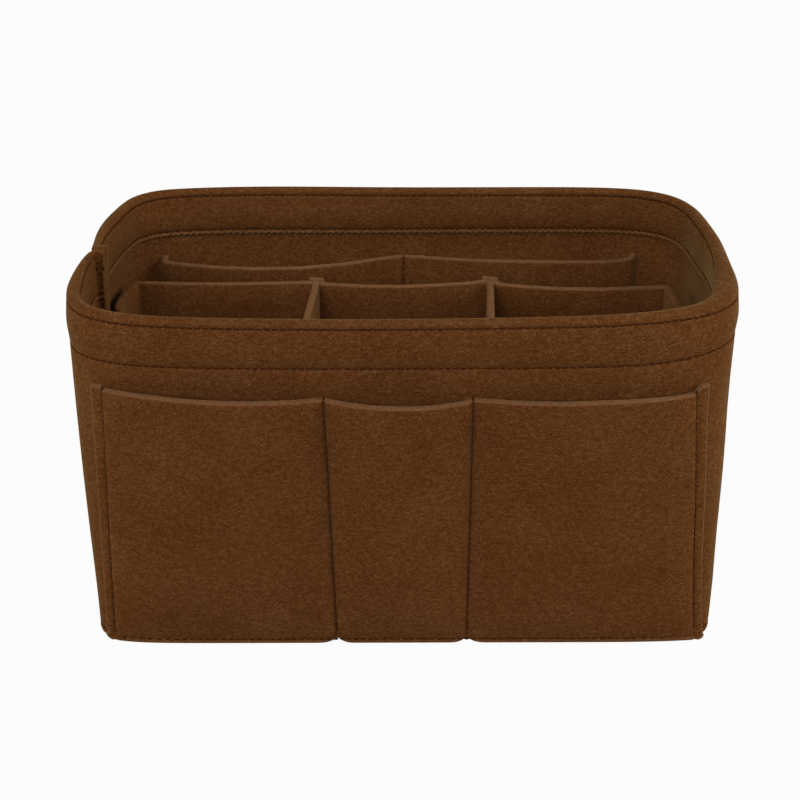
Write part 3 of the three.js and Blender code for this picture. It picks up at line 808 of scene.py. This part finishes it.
def pocket_point(s, z, side, lift):
    """A point of the panel, lifted so far from its back face. The height is the nominal one."""
    s, z = np.broadcast_arrays(np.asarray(s, float), np.asarray(z, float))
    slope = np.interp(s, *pocket_rims.T) if side < 0 else 0
    seams = near(s, pocket_rows_s[1], seam_hold) + near(s, pocket_rows_s[2], seam_hold)
    out = lip_puff * near(z, *lip_place) * (1 - seams) - seam_tuck * seams * near(z, 0, seam_tuck_height)
    out = out + corner_push * near(s, pocket_marks[5], corner_push_width) * near(z, 0, corner_push_height)
    x = pocket_place(s, z)
    rounding = np.where(s < 0, *corner_rounds)
    short = np.clip(rounding - (pocket_marks[5] - np.abs(s)), 0, rounding)
    corner = rounding - np.sqrt(rounding ** 2 - short ** 2)
    height = z + slope * (z / pocket_top) ** rim_curve + lip_notch * seams * np.exp(-z / lip_notch_height)
    height = height + corner * ramp_down(z, corner_height)
    return wall_point(turn_at(x, height, side), height, -(felt_gap + pocket_bow(s, z) + out + lift))


def pocket_dip(s, z, side):
    """How deep the panel's stitches pull it in."""
    seam = np.minimum(np.abs(s - pocket_rows_s[1]), np.abs(s - pocket_rows_s[2]))
    end = np.abs(np.abs(s) - pocket_rows_s[3])
    upright = stitch_dip(np.minimum(seam, end), z / pocket_pitch) + seam_groove * near(seam, 0, seam_groove_width)
    turns = turn_at(pocket_place(s, base_row), base_row, side)
    low_phase = np.interp(turns, wall_turns, np.arange(wall_columns) / stitch_columns)
    return np.maximum(upright, stitch_dip(z - base_row, low_phase))


pocket_across = felt_rows(pocket_marks[0], pocket_marks[5], [
    *np.linspace(pocket_marks[0], pocket_marks[5], pocket_columns),
    *[row + step for row in pocket_rows_s for step in seam_steps],
])
pocket_up = felt_rows(pocket_low, pocket_top, [
    *np.arange(pocket_rows_from, pocket_top, pocket_pitch / 3), *rows_about(base_row),
])
s_grid, z_grid = np.meshgrid(pocket_across, pocket_up, indexing="ij")
for side, side_name in ((-1, "front"), (1, "back")):
    middle = pocket_point(s_grid, z_grid, side, felt / 2)[::-side]
    border = border_of(pocket_across, pocket_up)[::-side]
    dip = pocket_dip(s_grid, z_grid, side)[::-side]
    felt_piece(f"{side_name}_pocket_felt", middle, border, dip, f"{side_name}_pocket_panel")
    seam_zs = np.arange(2 * pocket_pitch, pocket_top - 1, pocket_pitch) + pocket_pitch / 2
    for i, row in enumerate(pocket_rows_s):
        lift = felt - stitch_sink - (seam_groove if i in (1, 2) else 0)
        sew(f"{side_name}_pocket_stitches_{i + 1}", pocket_point(row, seam_zs, side, lift), pocket_pitch,
            f"{side_name}_pocket_thread_{i + 1}")


# Base panel. A felt bottom whose edge is turned up inside the wall, with a notch at the left for the
# wall's seam. One row of stitches near the floor goes through the base's edge, the wall and the pockets.
base_edge = 10
base_shoulder = base_edge - 1
base_gap = 0.3
base_inset = felt + base_gap
base_bend_angles = (0, 22, 45, 68, 90)
base_edge_angles = (35, 75, 105, 145)
notch_half = 7.6
notch_reach = seam_reach + 1.6
notch_room = 0.5
notch_steps = 4
base_columns = 240
base_shrinks = (0.06, 0.2, 0.4, 0.6, 0.8, 0.93)
panel_end_room = 1.5


def base_ring(z, inset, share=1):
    """Outline of the base so far inside the wall's outer face, with the notch for the seam."""
    half_length = wall_outline(z)[0]
    notch_y = notch_half + inset - base_inset
    notch_x = -half_length + notch_reach + inset - base_inset
    turns = np.interp(np.linspace(0, 1, base_columns), np.linspace(0, 1, wall_columns), wall_turns)
    stretch = (math.pi - math.atan2(notch_y + notch_room, wall_outline(z)[1])) / (math.pi - seam_turn)
    main = wall_flat(turns * stretch, z, inset)[:, :2]
    sides = np.linspace(main[0, 0], notch_x, notch_steps + 1)[1:]
    front = np.stack([sides, np.full(notch_steps, -notch_y)], axis=-1)
    back = np.stack([sides[::-1], np.full(notch_steps, notch_y)], axis=-1)
    outline = np.concatenate([front[::-1], main, back]) * share
    return drawn(np.column_stack([outline, np.full(len(outline), z)]))


base_rings = [base_ring(0, base_inset + felt, share) for share in base_shrinks]
for angle in np.radians(base_bend_angles):
    base_rings.append(base_ring(felt - felt * math.cos(angle), base_inset + felt - felt * math.sin(angle)))
base_rings.append(base_ring(base_shoulder, base_inset))
for angle in np.radians(base_edge_angles):
    base_rings.append(base_ring(base_shoulder + math.sin(angle), base_inset + felt / 2 - felt / 2 * math.cos(angle)))
base_rings.append(base_ring(base_shoulder, base_inset + felt))
base_rings.append(base_ring(felt + 1, base_inset + felt))
base_rings += [base_ring(felt, base_inset + felt + 1, share) for share in (1, *base_shrinks[::-1])]
base_skin = np.stack(base_rings[::-1])
base_panel = mesh_object("felt_base", base_skin.reshape(-1, 3), loop_faces(*base_skin.shape[:2]))
finish_felt(base_panel, "base_panel")

base_places = wall_flat(stitch_turns, base_row, 0)
on_panel = np.abs(base_places[:, 0]) < pocket_rows_low[3] - panel_end_room
base_depth = np.where(on_panel, stitch_sink - felt_gap - felt, stitch_sink)
sew("base_stitches", wall_point(stitch_turns, base_row, base_depth), wall_pitch, "base_thread")


# Divider. One felt strip bent to a U: the panel across the bag, and at each end a wing that runs forward
# to the front wall and is sewn on there by a flange. Its top edge is cut and left raw.
divider_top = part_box("divider_panel")[1].z * 1000
divider_low = felt + base_gap
divider_rows = 12
divider_step = 1.4
divider_round = 1.8
divider_ends = (-127, 127)
divider_line = np.array([
    (-127, 41.6), (-106, 39.9), (-85, 39.1), (-60, 39.9), (-47, 40.6), (-41.5, 40), (-36, 38.2), (-18, 35.6),
    (-1, 34.9), (16, 36.3), (32, 38.8), (39, 41), (43, 39.7), (47, 36.7), (60, 33.5), (74, 31.4), (92, 30.4),
    (110, 32), (124.4, 33),
])
divider_level = (39, 35)
wing_left = np.array([(-122, -62), (-126, -50), (-129, -30), (-128.2, -14), (-126.6, -6), (-126.6, 2),
                      (-129, 8), (-131.2, 14), (-131.2, 24), (-129.8, 33)])
wing_right = np.array([(125.2, 22), (125.9, 10), (127, -10), (127, -40), (123, -60)])
wing_narrows = (0.012, 0.09)
# The wings' cut edges keep only this share of their paleness: painted shade where the wings stand in the bag's
# shade.
wing_over = 4
wing_pale = 0.15
flange_places = (112, 118)
lining_depth = 1.5 * felt + felt_gap
tab_width = 6
tab_curve = 4


def run_lengths(run):
    return np.concatenate([[0], np.cumsum(np.linalg.norm(np.diff(run, axis=0), axis=1))])


def round_run(corners, radius, fine=0.5):
    """A run in plan through corners, rounded over the radius and spread evenly."""
    lengths = run_lengths(corners)
    places = np.arange(0, lengths[-1], fine)
    run = np.stack([np.interp(places, lengths, corners[:, i]) for i in (0, 1)], axis=-1)
    width = max(int(radius / fine), 1)
    weights = np.exp(-np.linspace(-2, 2, 2 * width + 1) ** 2)
    padded = np.concatenate([np.repeat(run[:1], width, 0), run, np.repeat(run[-1:], width, 0)])
    return np.stack([np.convolve(padded[:, i], weights / weights.sum(), "valid") for i in (0, 1)], axis=-1)


def upright_piece(name, run_at, heights, step, *nodes, rise=0, tab=0, dip_at=None, pale_at=None):
    """An upright felt strip that follows a run in plan at every height. Its top ends rise by the tab."""
    length = run_lengths(run_at(heights[-1]))[-1]
    places = felt_rows(0, length, np.linspace(0, length, int(length / step)))
    middle = []
    for z in heights:
        run = run_at(z)
        lengths = run_lengths(run)
        here = places * lengths[-1] / places[-1]
        middle.append(np.column_stack([
            np.interp(here, lengths, run[:, 0]), np.interp(here, lengths, run[:, 1]), np.full(len(here), z + rise),
        ]))
    middle = np.stack(middle, axis=1)
    from_end = np.minimum(places, places[-1] - places)
    up = (heights - heights[0]) / (heights[-1] - heights[0])
    middle[..., 2] += tab * near(from_end, 0, tab_width)[:, None] * up ** tab_curve
    dip = dip_at(middle) if dip_at else np.zeros(middle.shape[:2])
    felt_piece(name, middle, border_of(places, heights), dip, *nodes, pale=pale_at(middle) if pale_at else 1)


def divider_run(z):
    """The middle line of the divider's felt at a height, seen from above."""
    settle = ramp_up(z, 0, divider_top)
    level = np.interp(divider_line[:, 0], divider_ends, divider_level)
    panel = np.stack([divider_line[:, 0], lerp(level, divider_line[:, 1], settle)], axis=-1)
    narrow = [1 - share * (1 - settle) for share in wing_narrows]
    flanges = []
    for side in (-1, 1):
        xs = side * np.array(flange_places)
        flanges.append(np.stack([xs, inside_y(xs, z, -1, lining_depth)], axis=-1))
    corners = [flanges[0], wing_left * narrow, panel, wing_right * narrow, flanges[1][::-1]]
    return round_run(np.concatenate(corners), divider_round)


def wing_edges_painted_shade(middle):
    """Painted shade: the wings' cut edges, deep in the bag, keep little of the cut edges' paleness and painted
    highlight, so they are hardly paler than their faces.
    """
    return np.clip((divider_ends[1] - np.abs(middle[..., 0])) / wing_over, wing_pale, 1)


divider_up = felt_rows(divider_low, divider_top, np.linspace(divider_low, divider_top, divider_rows))
upright_piece("felt_divider", divider_run, divider_up, divider_step, "divider_panel", pale_at=wing_edges_painted_shade)


# Divider fins. Two upright felt webs between the front wall and the divider. Each web's rear edge stands
# against the divider, under a strip of felt that is sewn on behind it. A front lip holds it to the wall.
fin_places = (-41.3, 41.6)
fin_leans = (4.0, 3.2)
fin_lip = 8
fin_lip_bend = (1, 2)
fin_round = 1.2
fin_pitch = 3.1
fin_row_room = 2
web_foot = 4
web_curve = 1.4
web_points = 40
strip_half = 3.3
strip_gap = 0.2
strip_rise = 0.4
strip_step = 0.8
strip_points = 21
divider_behind = 25
divider_half = 120


def divider_y(x, z):
    """Where the middle of the divider's felt stands at x."""
    run = divider_run(z)
    panel = run[(run[:, 1] > divider_behind) & (np.abs(run[:, 0]) < divider_half)]
    return np.interp(x, panel[:, 0], panel[:, 1])


for place, lean, fin_name in zip(fin_places, fin_leans, ("left", "right")):
    def web_run(z):
        front_x = place - lean
        wall_y = inside_y(front_x, z, -1, lining_depth)
        back_y = divider_y(place, z) - felt / 2 - strip_gap
        shares = np.linspace(0, 1, web_points)
        web = np.stack([lerp(front_x, place, shares ** web_curve), lerp(wall_y + web_foot, back_y, shares)], axis=-1)
        lip = [(front_x - fin_lip, wall_y), (front_x - fin_lip_bend[0], wall_y), (front_x, wall_y + fin_lip_bend[1])]
        run = round_run(np.concatenate([lip, web]), fin_round)
        run[-1] = web[-1]
        return run

    def strip_run(z):
        xs = place + np.linspace(-strip_half, strip_half, strip_points)
        return np.stack([xs, divider_y(xs, z) + felt + strip_gap], axis=-1)

    fin_node = f"divider_fin_{fin_name}"
    upright_piece(f"felt_fin_{fin_name}", web_run, divider_up, divider_step, fin_node)
    upright_piece(f"felt_fin_{fin_name}_strip", strip_run, divider_up, strip_step, fin_node, rise=strip_rise)
    fin_zs = np.arange(divider_low + fin_row_room, divider_top - fin_row_room, fin_pitch)
    fin_ys = [divider_y(place, z) + 1.5 * felt + strip_gap - thread_proud for z in fin_zs]
    sew(f"fin_stitches_{fin_name}", np.column_stack([np.full(len(fin_zs), place), fin_ys, fin_zs]), fin_pitch,
        f"fin_thread_{fin_name}")


# Inner back pocket. A felt panel sewn to the inside of the back wall at its ends, bottom and middle. Both
# halves bow into the bag, the left one more, and both ends turn back to the wall.
inner_raise = 0.3
inner_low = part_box("inner_back_pocket")[0].z * 1000
inner_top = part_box("inner_back_pocket")[1].z * 1000 + inner_raise
inner_line = np.array([
    (-117.6, 74.5), (-118.4, 68), (-116.8, 66.6), (-108, 64.4), (-95, 61), (-74, 58.2), (-50, 59), (-30, 63.2),
    (-12, 69.8), (-3, 73), (0, 73.4), (3, 73), (12, 71.3), (30, 68), (45, 66.3), (60, 65.6), (80, 64.6),
    (98, 64.6), (106, 66.2), (111, 67.6), (113.4, 69.4), (113.9, 72.5), (113.6, 76),
])
inner_tab = 1.6
inner_round = 1.6
inner_rise_curve = 0.8
inner_groove_width = 1.2
inner_step = 0.55
inner_pitch = 3.1
inner_row = inner_low + 1.8
inner_row_half = 108


def inner_run(z):
    """The middle line of the pocket's felt at a height, seen from above."""
    rise = ramp_up(z, inner_low, inner_top - inner_low) ** inner_rise_curve
    xs = inner_line[:, 0]
    stand_off = inside_y(xs, inner_top, 1, lining_depth) - inner_line[:, 1]
    return round_run(np.stack([xs, inside_y(xs, z, 1, lining_depth) - stand_off * rise], axis=-1), inner_round)


def inner_dip(middle):
    """How deep the pocket's stitches pull it in."""
    x, z = middle[..., 0], middle[..., 2]
    seam = stitch_dip(x, z / inner_pitch) + seam_groove * near(x, 0, inner_groove_width)
    return np.maximum(seam, stitch_dip(z - inner_row, x / inner_pitch))


def inner_face(x, z):
    run = inner_run(z)
    return np.interp(x, run[:, 0], run[:, 1]) - felt / 2


inner_up = felt_rows(inner_low, inner_top, [
    *np.arange(inner_low, inner_top, inner_pitch / 2), *rows_about(inner_row),
])
upright_piece("felt_inner_pocket", inner_run, inner_up, inner_step, "inner_back_pocket",
              tab=inner_tab, dip_at=inner_dip)
inner_zs = np.arange(inner_low + inner_pitch, inner_top - 1, inner_pitch) + inner_pitch / 2
seam_points = [(0, inner_face(0, z) + stitch_sink + seam_groove, z) for z in inner_zs]
sew("inner_pocket_stitches", seam_points, inner_pitch, "inner_pocket_thread")
low_xs = np.arange(-inner_row_half, inner_row_half, inner_pitch)
low_points = np.column_stack([low_xs, inner_face(low_xs, inner_row) + stitch_sink, np.full(len(low_xs), inner_row)])
sew("inner_bottom_stitches", low_points, inner_pitch, "inner_pocket_bottom_thread")


# Seam at the left end. Two rows of stitches, one on each side of the wall's turned-in ends, and at the top
# a small loop of thread where the sewing was locked.
seam_pitch = 3.1
seam_row_in = 0.9
loop_radius = 1.5
loop_stretch = 1.6
loop_in = 2
loop_height = wall_height - 8
loop_stitches = 4
for side, side_name in ((-1, "front"), (1, "back")):
    seam_zs = np.arange(base_edge, wall_height - felt, seam_pitch)
    seam_faces = bulky(math.pi, seam_zs, np.where(seam_zs < hem_edge, felt, hem_back(seam_zs)))
    seam_xs = -wall_outline(seam_zs)[0] + seam_tip(seam_zs) - seam_row_in
    seam_points = drawn(np.stack([seam_xs, side * (seam_gap / 2 + seam_faces - thread_proud), seam_zs], axis=-1))
    seam_runs = np.gradient(seam_points, axis=0)
    if side < 0:
        turns = np.linspace(0, 2 * math.pi, loop_stitches + 1)[:-1]
        loop_y = thread_proud - seam_gap / 2 - bulky(math.pi, loop_height, hem_back(loop_height))
        loop = np.stack([
            -wall_outline(loop_height)[0] + seam_reach - loop_in + loop_radius * np.cos(turns),
            np.full(loop_stitches, loop_y),
            loop_height + loop_stretch * loop_radius * np.sin(turns),
        ], axis=-1)
        seam_points = np.concatenate([seam_points, drawn(loop)])
        seam_runs = np.concatenate([seam_runs, np.stack([-np.sin(turns), 0 * turns, np.cos(turns)], axis=-1)])
    sew(f"side_seam_stitches_{side_name}", seam_points, seam_pitch, f"side_seam_thread_{side_name}", runs=seam_runs)
